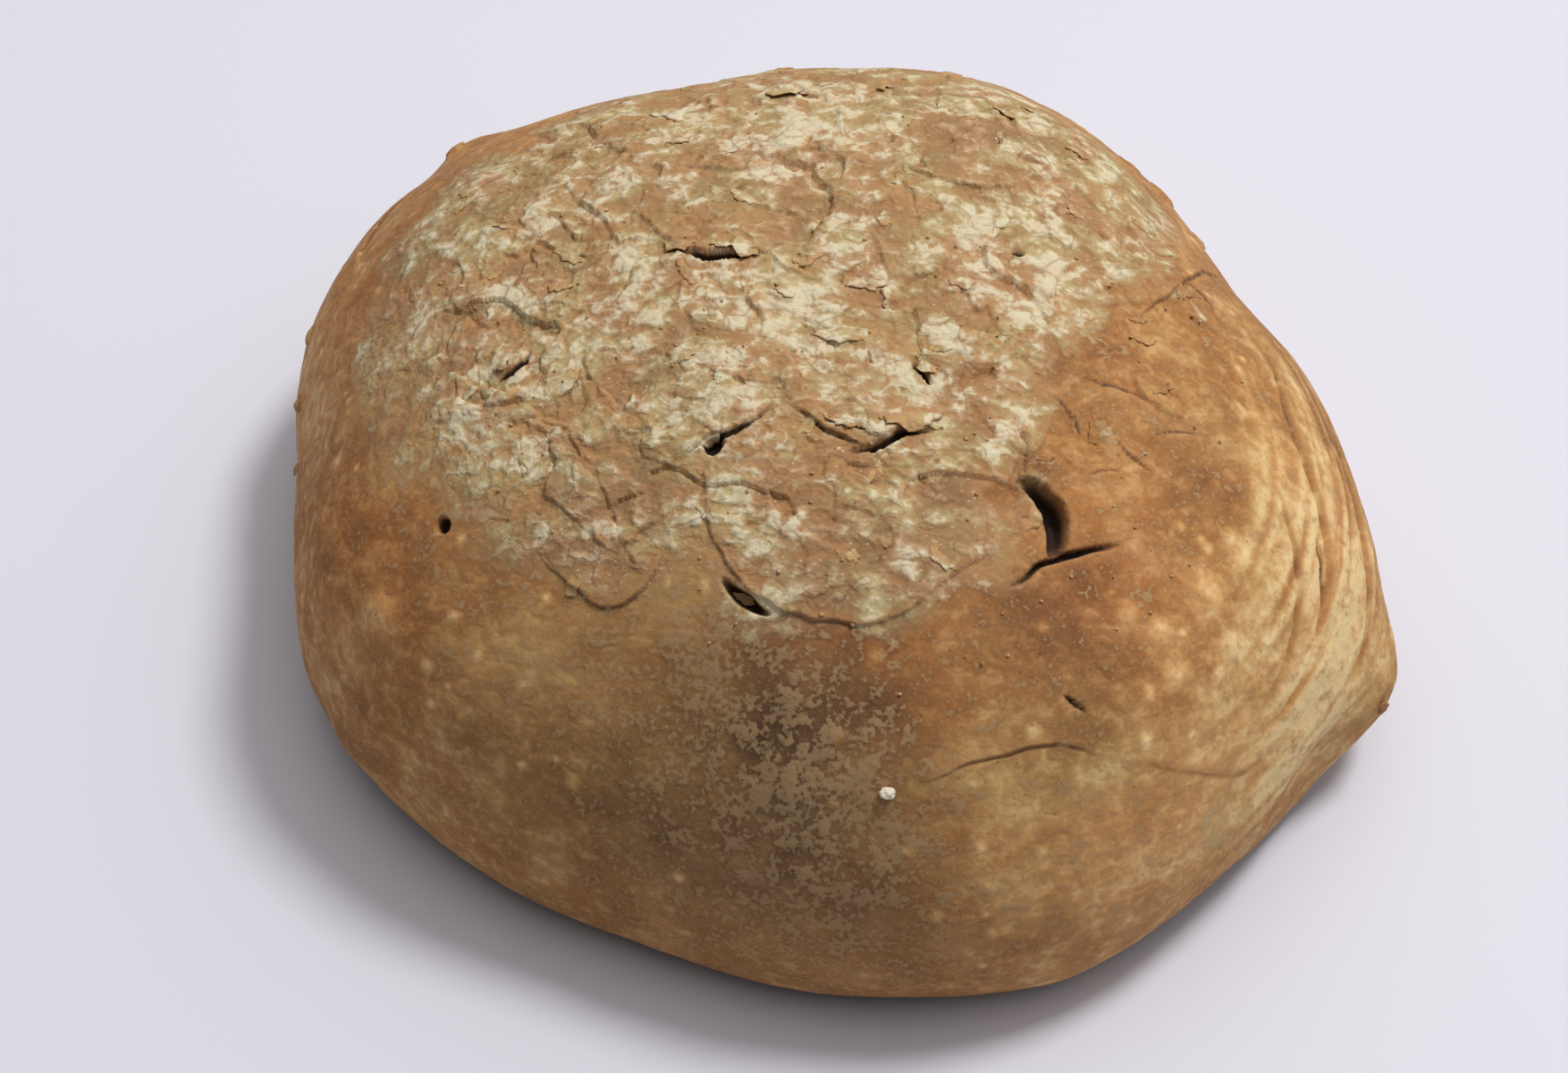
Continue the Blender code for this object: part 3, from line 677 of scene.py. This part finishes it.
def crust_fields(points, normals):
    """The crust's relief over the smooth loaf, and what its colours go by at each point."""
    placed = points - [*PLACES_FROM, 0]
    crown = crown_share(points)
    floured = flour_share(placed)
    on_crown = np.flatnonzero(crown > 0)
    relief = swell_relief(points)
    relief += sum(height * noise_at(points, wavelength) for wavelength, height in GRAINS)
    flour = CROWN_FLOUR * floured + zone_sum(placed, FLOUR_ZONES)
    dust = zone_sum(placed, DUST_ZONES)
    warm = WARMTH + CROWN_WARMTH * floured + zone_sum(placed, WARM_ZONES)
    bake_and_shade = BAKE + CROWN_BAKE * floured + zone_sum(placed, BAKE_ZONES)
    # Darker bake and painted shade towards the foot.
    bake_and_shade += FOOT_BAKE_AND_SHADE * (1 - smoothstep(0, FOOT_BAKE_AND_SHADE_HEIGHT, points[:, 2]))
    for wavelength, strength in TONE_WAVES:
        wave = strength * noise_at(points, wavelength, TONE_ORIGIN)
        bake_and_shade += wave
        warm += strength * noise_at(points, wavelength, -TONE_ORIGIN)
        flour -= wave * floured
        dust -= wave
    wave = streaks(placed)
    relief += STREAK_RELIEF * wave
    warm -= STREAK_WARMTH * wave
    bake_and_shade -= STREAK_BAKE * wave

    # The gap field is painted shade in cracks and burst holes, from 0 to 1.
    gap = np.zeros(len(points))
    torn_edge = np.zeros(len(points))
    for plates, strength in ((BIG_PLATES, 0.10), (FLAKES, 0.16), (CHIPS, 0.14)):
        height, tone, edge = plate_pattern(points[on_crown], plates)
        relief[on_crown] += height * crown[on_crown]
        flour[on_crown] += strength * (tone - edge) * crown[on_crown]
        torn_edge[on_crown] = np.maximum(torn_edge[on_crown], 0.5 * edge * crown[on_crown])
    for blister in all_blisters():
        away = np.linalg.norm(points - crown_point(blister.x * MM, blister.y * MM), axis=1) / (blister.radius * MM)
        swollen = np.exp(-away**2)
        relief += blister.height * MM * swollen
        bake_and_shade -= BLISTER_PALE * swollen
    for torn in TEARS + hair_cracks():
        near, change, groove, rim = tear_shape(points, normals, torn)
        relief[near] += change
        # Painted shade in the tear's gap.
        gap[near] = np.maximum(gap[near], groove * cut_share(torn))
        # Painted shade in the groove, as darker bake.
        bake_and_shade[near] += GROOVE_SHADE * groove * min(torn.depth / torn.gap, 1)
        torn_edge[near] = np.maximum(torn_edge[near], rim)
    for burst in BURSTS:
        distance = np.linalg.norm(points - crown_point(burst.x, burst.y), axis=1) / burst.radius
        hole = 1 - smoothstep(*BURST_WALL, distance)
        relief -= burst.depth * hole
        # Painted shade in the burst hole.
        gap = np.maximum(gap, hole)
    relief *= smoothstep(*FOOT_FADE, points[:, 2])
    fields = {"flour": flour, "dust": dust, "bake_and_shade": bake_and_shade, "warm": warm, "gap": gap, "torn_edge": torn_edge}
    return relief, {name: np.clip(values, 0, 1) for name, values in fields.items()}


def numbers(items, name, width):
    found = np.empty(len(items) * width)
    items.foreach_get(name, found)
    return found.reshape(-1, width)


def set_fields(mesh, fields):
    """Gives the mesh each field as a value at its points."""
    for name, values in fields.items():
        attribute = mesh.attributes.new(name, "FLOAT", "POINT")
        attribute.data.foreach_set("value", values)


def make_crust():
    """The loaf, shaped from a fine sphere, with the triangles thinned out where the crust is smooth."""
    level = SPHERE_LEVEL
    bpy.ops.mesh.primitive_ico_sphere_add(subdivisions=level, radius=1)
    shaped = bpy.context.object
    vertices = shaped.data.vertices
    directions = numbers(vertices, "co", 3) + [0, 0, FINER_ON_TOP]
    directions /= np.linalg.norm(directions, axis=1)[:, None]
    smooth_form = body_points(directions)
    vertices.foreach_set("co", smooth_form.ravel())
    shaped.data.update()
    normals = numbers(vertices, "normal", 3)

    relief, fields = crust_fields(smooth_form, normals)
    form = smooth_form + normals * relief[:, None]
    middle = (form.min(axis=0) + form.max(axis=0)) / 2
    form -= [middle[0], middle[1], 0]
    form[:, 2] = np.maximum(form[:, 2], 0)
    vertices.foreach_set("co", form.ravel())
    set_fields(shaped.data, fields)
    shaped.data.update()

    thin = shaped.modifiers.new("thin out", "DECIMATE")
    thin.ratio = min(CRUST_TRIANGLES / len(shaped.data.polygons), 1)
    evaluated = shaped.evaluated_get(bpy.context.evaluated_depsgraph_get())
    mesh = bpy.data.meshes.new_from_object(evaluated)
    mesh.shade_smooth()
    crust = bpy.data.objects.new("crust", mesh)
    bpy.context.scene.collection.objects.link(crust)
    bpy.data.objects.remove(shaped)
    return crust


class Graph:
    """A material's node tree, with one method for each kind of node used here."""

    def __init__(self, name):
        self.material = bpy.data.materials.new(name)
        self.material.use_nodes = True
        self.tree = self.material.node_tree
        self.shader = self.tree.nodes["Principled BSDF"]
        self.place = self.tree.nodes.new("ShaderNodeTexCoord").outputs["Object"]

    def plug(self, socket, value):
        if isinstance(value, bpy.types.NodeSocket):
            self.tree.links.new(value, socket)
        else:
            socket.default_value = value

    def field(self, name):
        node = self.tree.nodes.new("ShaderNodeAttribute")
        node.attribute_name = name
        return node.outputs["Fac"]

    def stretched(self, shares):
        """Object coordinates, with the pattern drawn out along an axis where its share is below 1."""
        node = self.tree.nodes.new("ShaderNodeVectorMath")
        node.operation = "MULTIPLY"
        self.plug(node.inputs[0], self.place)
        self.plug(node.inputs[1], shares)
        return node.outputs["Vector"]

    def noise(self, wavelength, detail=3, roughness=0.6, distortion=0.0, stretch=(1, 1, 1)):
        node = self.tree.nodes.new("ShaderNodeTexNoise")
        self.plug(node.inputs["Vector"], self.stretched(stretch))
        self.plug(node.inputs["Scale"], 1 / wavelength)
        self.plug(node.inputs["Detail"], detail)
        self.plug(node.inputs["Roughness"], roughness)
        self.plug(node.inputs["Distortion"], distortion)
        return node.outputs["Fac"]

    def spots(self, spacing, stretch=(1, 1, 1)):
        """How far each point is from the middle of its cell, in spacings."""
        node = self.tree.nodes.new("ShaderNodeTexVoronoi")
        self.plug(node.inputs["Vector"], self.stretched(stretch))
        self.plug(node.inputs["Scale"], 1 / spacing)
        return node.outputs["Distance"]

    def cell_edges(self, spacing, warp_by, warp_every):
        """How far each point is from the edge of its cell, in spacings, in a pattern warped by noise."""
        warp = self.tree.nodes.new("ShaderNodeTexNoise")
        self.plug(warp.inputs["Vector"], self.place)
        self.plug(warp.inputs["Scale"], 1 / warp_every)
        moved = self.tree.nodes.new("ShaderNodeVectorMath")
        moved.operation = "MULTIPLY_ADD"
        self.plug(moved.inputs[0], warp.outputs["Color"])
        self.plug(moved.inputs[1], (warp_by,) * 3)
        self.plug(moved.inputs[2], self.place)
        node = self.tree.nodes.new("ShaderNodeTexVoronoi")
        node.feature = "DISTANCE_TO_EDGE"
        self.plug(node.inputs["Vector"], moved.outputs["Vector"])
        self.plug(node.inputs["Scale"], 1 / spacing)
        return node.outputs["Distance"]

    def sway(self, value, pattern, strength):
        """The value, moved up and down by a pattern that runs from 0 to 1."""
        return self.maths("MULTIPLY_ADD", self.maths("SUBTRACT", pattern, 0.5), strength, value)

    def share(self, value, strength):
        return self.maths("MULTIPLY", value, strength)

    def maths(self, operation, first, second=0.0, third=0.0):
        node = self.tree.nodes.new("ShaderNodeMath")
        node.operation = operation
        self.plug(node.inputs[0], first)
        self.plug(node.inputs[1], second)
        self.plug(node.inputs[2], third)
        return node.outputs[0]

    def step(self, value, low, high):
        node = self.tree.nodes.new("ShaderNodeMapRange")
        node.interpolation_type = "SMOOTHSTEP"
        self.plug(node.inputs["Value"], value)
        self.plug(node.inputs["From Min"], low)
        self.plug(node.inputs["From Max"], high)
        return node.outputs["Result"]

    def ramp(self, value, stops):
        node = self.tree.nodes.new("ShaderNodeValToRGB")
        self.plug(node.inputs["Fac"], value)
        elements = node.color_ramp.elements
        while len(elements) < len(stops):
            elements.new(0.5)
        for element, (place, colour) in zip(elements, stops):
            element.position = place
            element.color = linear(colour)
        return node.outputs["Color"]

    def mix(self, share, first, second):
        node = self.tree.nodes.new("ShaderNodeMix")
        node.data_type = "RGBA"
        self.plug(node.inputs["Factor"], share)
        self.plug(node.inputs["A"], first)
        self.plug(node.inputs["B"], second)
        return node.outputs["Result"]

    def bump(self, height, distance, strength=1.0, onto=None):
        node = self.tree.nodes.new("ShaderNodeBump")
        self.plug(node.inputs["Height"], height)
        self.plug(node.inputs["Distance"], distance)
        self.plug(node.inputs["Strength"], strength)
        if onto is not None:
            self.plug(node.inputs["Normal"], onto)
        return node.outputs["Normal"]


def crust_material():
    """Baked crust, from pale to dark and from olive to red, under dust and flour that lies thick or thin, with painted
    shade in its cracks, holes, pores and grooves and at its foot.
    """
    graph = Graph("flour dusted crust")
    patches = graph.noise(15 * MM, detail=4, roughness=0.55, distortion=0.5, stretch=(0.75, 1, 1))
    flakes = graph.noise(7 * MM, detail=3, roughness=0.5, distortion=0.7, stretch=(0.75, 1, 1))
    mottle = graph.noise(3.2 * MM, detail=2, roughness=0.5, distortion=0.4, stretch=(0.8, 1, 1))
    speck = graph.noise(1.3 * MM, detail=2, roughness=0.6)
    grain = graph.noise(0.5 * MM, detail=2)
    pores = graph.spots(3.1 * MM)
    white_specks = graph.spots(2.3 * MM, stretch=(0.9, 1.1, 1))

    # The bake field also carries painted shade at the foot and in the grooves of tears.
    bake_and_shade = graph.sway(graph.sway(graph.field("bake_and_shade"), patches, 0.35), flakes, 0.3)
    bake_and_shade = graph.sway(graph.sway(bake_and_shade, mottle, 0.55), speck, 0.35)
    warm = graph.sway(graph.sway(graph.field("warm"), patches, 0.7), mottle, 0.6)
    crust = graph.mix(warm, graph.ramp(bake_and_shade, OLIVE_CRUST), graph.ramp(bake_and_shade, RED_CRUST))
    dust = graph.sway(graph.sway(graph.field("dust"), flakes, 1.2), mottle, 2.2)
    dust = graph.sway(dust, speck, 3.0)
    dusted = graph.mix(graph.share(graph.step(dust, 0.25, 0.85), 0.7), crust, linear(DUST_COLOUR))

    flour = graph.sway(graph.sway(graph.field("flour"), patches, 2.0), flakes, 2.2)
    flour = graph.sway(graph.sway(flour, mottle, 2.0), speck, 0.7)
    tint = graph.step(graph.noise(12 * MM, detail=3, roughness=0.6), 0.42, 0.58)
    veil = graph.mix(tint, linear(THIN_FLOUR_COLOUR), linear(TAN_FLOUR_COLOUR))
    reached = graph.share(graph.step(graph.field("flour"), 0.02, 0.25), 0.88)
    cover = graph.maths("MULTIPLY_ADD", graph.step(flour, 0.12, 0.80), 0.68, 0.32)
    thin = graph.mix(graph.maths("MULTIPLY", cover, reached), dusted, veil)
    thick = graph.mix(graph.maths("MULTIPLY", graph.step(flour, 0.66, 1.10), reached), thin, linear(FLOUR_COLOUR))
    specks = graph.maths("MULTIPLY", graph.step(white_specks, 0.16, 0.06), graph.share(reached, 0.5))
    specked = graph.mix(specks, thick, linear(WHITE_COLOUR))
    # Painted shade in small pores.
    pore_shaded = graph.mix(graph.share(graph.step(pores, 0.14, 0.05), 0.35), specked, linear(CRACK_SHADE_COLOUR))

    veins = graph.cell_edges(9 * MM, warp_by=5 * MM, warp_every=6 * MM)
    veined = graph.maths("MULTIPLY", graph.step(veins, 0.05, 0.015), graph.step(flakes, 0.46, 0.6))
    veined = graph.maths("MULTIPLY", veined, graph.step(graph.field("flour"), 0.15, 0.4))
    lined = graph.mix(graph.share(veined, 0.4), pore_shaded, linear(VEIN_COLOUR))
    edged = graph.mix(graph.share(graph.field("torn_edge"), 0.5), lined, linear(TORN_EDGE_COLOUR))
    # Painted shade in cracks, burst holes and under flakes, from the gap field.
    colour = graph.mix(graph.step(graph.field("gap"), 0.2, 0.75), edged, linear(CRACK_SHADE_COLOUR))
    graph.plug(graph.shader.inputs["Base Color"], colour)
    dry = graph.step(flour, -0.9, 0.3)
    graph.plug(graph.shader.inputs["Roughness"], graph.maths("MULTIPLY_ADD", dry, 0.35, 0.6))
    graph.shader.inputs["Specular IOR Level"].default_value = 0.3
    rough = graph.maths("MULTIPLY_ADD", graph.step(graph.field("flour"), 0.1, 0.5), 0.6, 0.4)
    flaky = graph.bump(flakes, 1.2 * MM, rough)
    mottled = graph.bump(mottle, 1.0 * MM, rough, onto=flaky)
    coarse = graph.bump(speck, 0.2 * MM, rough, onto=mottled)
    fine = graph.bump(grain, 0.05 * MM, rough, onto=coarse)
    graph.plug(graph.shader.inputs["Normal"], fine)
    return graph.material


def lump(mesh, place, radii, seed):
    """Adds a lumpy little body round the place to a bmesh."""
    made = bmesh.ops.create_icosphere(mesh, subdivisions=1 if seed else 4, radius=1)["verts"]
    for vertex in made:
        lumpy = vertex.co * (1 + 0.3 * noise.noise(vertex.co * 1.7 + Vector((seed, 0, 0))))
        vertex.co = [lumpy[axis] * radii[axis] + place[axis] for axis in range(3)]


def make_grain(surface):
    """The white grain that lies on the front of the crust."""
    mesh = bmesh.new()
    place, normal, _, _ = surface.find_nearest(Vector(GRAIN_PLACE))
    lump(mesh, place + normal * GRAIN_RADII[2] / 2, GRAIN_RADII, 0)
    graph = Graph("white grain")
    tone = graph.noise(0.8 * MM)
    graph.plug(graph.shader.inputs["Base Color"],
               graph.mix(tone, linear(GRAIN_COLOUR), linear(FLOUR_COLOUR)))
    graph.shader.inputs["Roughness"].default_value = 0.7
    return finished("white_grain", mesh, graph.material)


def make_crumbs(surface, material):
    """Crumbs and lumps of flour that lie loose on the crown."""
    draw = random.Random(CRUMB_SEED)
    mesh = bmesh.new()
    for number in range(CRUMBS):
        bearing = draw.uniform(-math.pi, math.pi)
        reach = math.sqrt(draw.random()) * CRUMB_REACH * float(plan_radius(np.array([bearing]))[0])
        above = Vector(crown_point(reach * math.cos(bearing), reach * math.sin(bearing)))
        place, normal, _, _ = surface.find_nearest(above)
        radii = [draw.uniform(*CRUMB_RADII) * MM for _ in range(3)]
        lump(mesh, place + normal * min(radii) * CRUMB_SINKS, radii, number + 1)
    crumbs = finished("crumbs", mesh, material)
    everywhere = np.ones(len(crumbs.data.vertices))
    set_fields(crumbs.data, {"flour": CRUMB_FLOUR * everywhere, "bake_and_shade": BAKE * everywhere, "warm": WARMTH * everywhere})
    return crumbs


def finished(name, mesh, material):
    """An object made from a bmesh, smooth, in the scene and with its material."""
    data = bpy.data.meshes.new(name)
    mesh.to_mesh(data)
    mesh.free()
    data.shade_smooth()
    data.materials.append(material)
    made = bpy.data.objects.new(name, data)
    bpy.context.scene.collection.objects.link(made)
    return made


def small_flakes():
    """Seeded small flakes all over the floured crown."""
    draw = random.Random(FLAKE_SEED)
    flakes = []
    for _ in range(SMALL_FLAKES):
        turn, reach = draw.uniform(-math.pi, math.pi), math.sqrt(draw.random()) * 0.95
        x = (CROWN_MIDDLE[0] + CROWN_RADII[0] * reach * math.cos(turn)) / MM
        y = (CROWN_MIDDLE[1] + CROWN_RADII[1] * reach * math.sin(turn)) / MM
        level = crown_point(x * MM, y * MM)[2] / MM
        length = draw.uniform(*SMALL_LENGTH)
        flakes.append(Flake(x, y, level, draw.gauss(-90, 60), length, length * draw.uniform(0.9, 1.8),
                            draw.uniform(*SMALL_LIFT)))
    return flakes


def add_flake(mesh, surface, flake, seed):
    """A thin curved plate whose root is sunk in the crust and whose free edge stands above it."""
    place, normal, _, _ = surface.find_nearest(Vector((flake.x, flake.y, flake.level)) * MM)
    heading = math.radians(flake.heading)
    ahead = Vector((math.cos(heading), math.sin(heading), 0))
    ahead = (ahead - normal * ahead.dot(normal)).normalized()
    aside = normal.cross(ahead)
    sheets = []
    for side in (1, -1):
        rings = []
        for ring in range(FLAKE_RINGS + 1):
            outward = ring / FLAKE_RINGS
            row = []
            for spoke in range(FLAKE_SPOKES if ring else 1):
                turn = spoke / FLAKE_SPOKES * math.tau
                round_it = Vector((math.cos(turn), math.sin(turn), seed * 1.7))
                ragged = 1 + FLAKE_RAGGED * noise.noise(round_it * 2.3)
                along = outward * ragged * math.cos(turn)
                across = outward * ragged * math.sin(turn)
                spot = place + (ahead * along * flake.length + aside * across * flake.width) * MM
                ground, up, _, _ = surface.find_nearest(spot)
                rise = max((along + 1) / 2, 0) ** 1.4 * (1 - 0.35 * across**2) * flake.lift * MM
                rise += (noise.noise(spot / (2 * MM)) * 0.12 * flake.lift * MM) - FLAKE_ROOT * (along < 0)
                thick = FLAKE_THICK / 2 * (1 - 0.7 * outward**2)
                row.append(mesh.verts.new(ground + (up + normal) / 2 * (rise + side * thick)))
            rings.append(row)
        sheets.append(rings)
    for rings, side in zip(sheets, (1, -1)):
        for spoke in range(FLAKE_SPOKES):
            after = (spoke + 1) % FLAKE_SPOKES
            corners = [rings[0][0], rings[1][spoke], rings[1][after]]
            mesh.faces.new(corners[::side])
            for inner, outer in zip(rings[1:], rings[2:]):
                corners = [inner[spoke], outer[spoke], outer[after], inner[after]]
                mesh.faces.new(corners[::side])
    top, bottom = sheets[0][-1], sheets[1][-1]
    for spoke in range(FLAKE_SPOKES):
        after = (spoke + 1) % FLAKE_SPOKES
        mesh.faces.new([top[spoke], bottom[spoke], bottom[after], top[after]])
    return top + bottom, [vertex for ring in sheets[1] for vertex in ring]


def make_flakes(surface, material):
    """All the lifted flakes as one piece, floured on top, torn at the rim, and with painted shade below."""
    mesh = bmesh.new()
    layers = {name: mesh.verts.layers.float.new(name) for name in ("flour", "dust", "bake_and_shade", "warm", "gap", "torn_edge")}
    for seed, flake in enumerate(FLAKES_SHOWN + small_flakes()):
        before = len(mesh.verts)
        rims, below = add_flake(mesh, surface, flake, seed)
        mesh.verts.ensure_lookup_table()
        fresh = [mesh.verts[i] for i in range(before, len(mesh.verts))]
        middle = np.array([[flake.x, flake.y, flake.level]]) * MM
        floured = float(flour_share(middle)[0])
        for vertex in fresh:
            vertex[layers["flour"]] = FLAKE_FLOUR * floured
            vertex[layers["bake_and_shade"]] = BAKE
            vertex[layers["warm"]] = WARMTH
        # Painted shade under each flake.
        for vertex in below:
            vertex[layers["flour"]] = 0
            vertex[layers["gap"]] = 0.4
        for vertex in rims:
            vertex[layers["torn_edge"]] = 1
    bmesh.ops.recalc_face_normals(mesh, faces=mesh.faces)
    return finished("crust_flakes", mesh, material)


def make_floor():
    bpy.ops.mesh.primitive_plane_add(size=FLOOR_SIZE)
    floor = bpy.context.object
    floor.name = "floor"
    material = bpy.data.materials.new("pale floor")
    material.use_nodes = True
    shader = material.node_tree.nodes["Principled BSDF"]
    shader.inputs["Base Color"].default_value = linear(FLOOR_COLOUR)
    shader.inputs["Roughness"].default_value = 0.9
    floor.data.materials.append(material)


def make_camera():
    data = bpy.data.cameras.new("camera")
    data.sensor_width = SENSOR_WIDTH
    data.lens = SENSOR_WIDTH * CAMERA_DISTANCE / (IMAGE_SIZE[0] * PIXEL_AT_AIM)
    camera = bpy.data.objects.new("camera", data)
    bpy.context.scene.collection.objects.link(camera)
    camera.rotation_euler = (math.pi / 2 - CAMERA_ELEVATION, 0, 0)
    back = Vector((0, -math.cos(CAMERA_ELEVATION), math.sin(CAMERA_ELEVATION)))
    camera.location = CAMERA_AIM + back * CAMERA_DISTANCE
    bpy.context.scene.camera = camera


def make_light():
    """A soft sky that is dim on the viewer's side, and a large lamp up behind on the right."""
    world = bpy.data.worlds.new("studio")
    world.use_nodes = True
    nodes, links = world.node_tree.nodes, world.node_tree.links
    direction = nodes.new("ShaderNodeTexCoord").outputs["Generated"]
    cosine = nodes.new("ShaderNodeVectorMath")
    cosine.operation = "DOT_PRODUCT"
    cosine.inputs[1].default_value = SKY_AXIS
    falloff = nodes.new("ShaderNodeMapRange")
    falloff.interpolation_type = "SMOOTHSTEP"
    falloff.inputs["From Min"].default_value, falloff.inputs["From Max"].default_value = SKY_COSINES
    falloff.inputs["To Min"].default_value, falloff.inputs["To Max"].default_value = SKY_STRENGTHS
    background = nodes["Background"]
    background.inputs["Color"].default_value = (*SKY_COLOUR, 1)
    links.new(direction, cosine.inputs[0])
    links.new(cosine.outputs["Value"], falloff.inputs["Value"])
    links.new(falloff.outputs["Result"], background.inputs["Strength"])
    bpy.context.scene.world = world
    data = bpy.data.lights.new("key", "AREA")
    data.shape = "DISK"
    data.size = KEY_SIZE
    data.energy = KEY_POWER
    key = bpy.data.objects.new("key", data)
    bpy.context.scene.collection.objects.link(key)
    key.location = KEY_PLACE
    key.rotation_euler = KEY_PLACE.to_track_quat("Z", "Y").to_euler()


def main():
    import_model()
    bpy.context.scene.view_settings.view_transform = "Standard"
    make_camera()
    make_light()
    make_floor()

    crust = make_crust()
    material = crust_material()
    crust.data.materials.append(material)
    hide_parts("loaf")
    surface = BVHTree.FromPolygons([v.co for v in crust.data.vertices], [p.vertices for p in crust.data.polygons])
    for piece in (crust, make_flakes(surface, material), make_crumbs(surface, material), make_grain(surface)):
        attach(piece, "root")


main()
